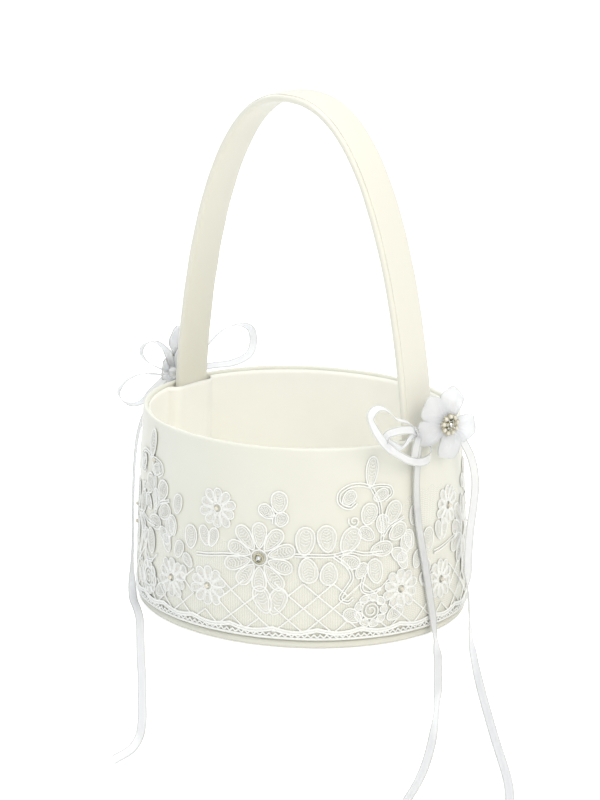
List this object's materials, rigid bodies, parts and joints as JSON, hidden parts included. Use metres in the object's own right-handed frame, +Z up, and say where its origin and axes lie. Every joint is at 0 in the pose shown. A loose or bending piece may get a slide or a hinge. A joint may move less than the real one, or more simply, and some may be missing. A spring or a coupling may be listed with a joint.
{
  "type": "flower girl basket",
  "caption": "Oval satin covered basket with a lace skirt, a tall padded arch handle, and ribbon bows with organza flowers at the handle's feet.",
  "frame": {"origin": "centre of the flat underside, on the surface the basket stands on", "axes": "+Z up, +X along the handle's span towards the side with two ribbon tails, +Y along the body's short way"},
  "size_m": [0.4417, 0.3735, 0.3104],
  "materials": {
    "satin": "ivory bridal satin, soft sheen",
    "handle_satin": "ivory bridal satin, soft sheen",
    "lining": "matt ivory lining satin",
    "board": "grey board, uncoated",
    "foam": "thin wadding",
    "lace": "corded and embroidered lace on fine net",
    "ribbon": "white double-faced satin ribbon",
    "organza": "sheer white organza",
    "felt": "white felt",
    "pearl": "imitation pearl",
    "crystal": "cut clear rhinestone",
    "silver": "silver plated setting"
  },
  "bodies": {
    "root": {"outer_cover": "satin", "wall_padding": "foam", "side_board": "board", "lining": "lining", "base_cover": "satin", "base_board": "board", "floor_pad": "lining", "handle_cover": "handle_satin", "handle_padding": "foam", "handle_core": "board", "lace_panel": "lace", "lace_hem": "lace", "lace_rhinestone_front": "crystal", "lace_rhinestone_back": "crystal", "lace_pearl_front_1": "pearl", "lace_pearl_back_1": "pearl", "lace_pearl_front_2": "pearl", "lace_pearl_back_2": "pearl", "lace_pearl_front_3": "pearl", "lace_pearl_back_3": "pearl", "lace_pearl_front_4": "pearl", "lace_pearl_back_4": "pearl", "lace_pearl_front_5": "pearl", "lace_pearl_back_5": "pearl", "lace_pearl_front_6": "pearl", "lace_pearl_back_6": "pearl", "right_flower_backing": "felt", "right_petal_1": "organza", "right_petal_2": "organza", "right_petal_3": "organza", "right_petal_4": "organza", "right_petal_5": "organza", "right_brooch": "silver", "right_brooch_stone": "crystal", "right_bow_knot": "ribbon", "right_bow_loop_1": "ribbon", "right_bow_loop_2": "ribbon", "right_bow_loop_3": "ribbon", "left_flower_backing": "felt", "left_petal_1": "organza", "left_petal_2": "organza", "left_petal_3": "organza", "left_petal_4": "organza", "left_petal_5": "organza", "left_brooch": "silver", "left_brooch_stone": "crystal", "left_bow_knot": "ribbon", "left_bow_loop_1": "ribbon", "left_bow_loop_2": "ribbon", "left_bow_loop_3": "ribbon", "tail_right_front": "ribbon", "tail_right_rear": "ribbon", "tail_left_front": "ribbon"}
  },
  "joints": []
}
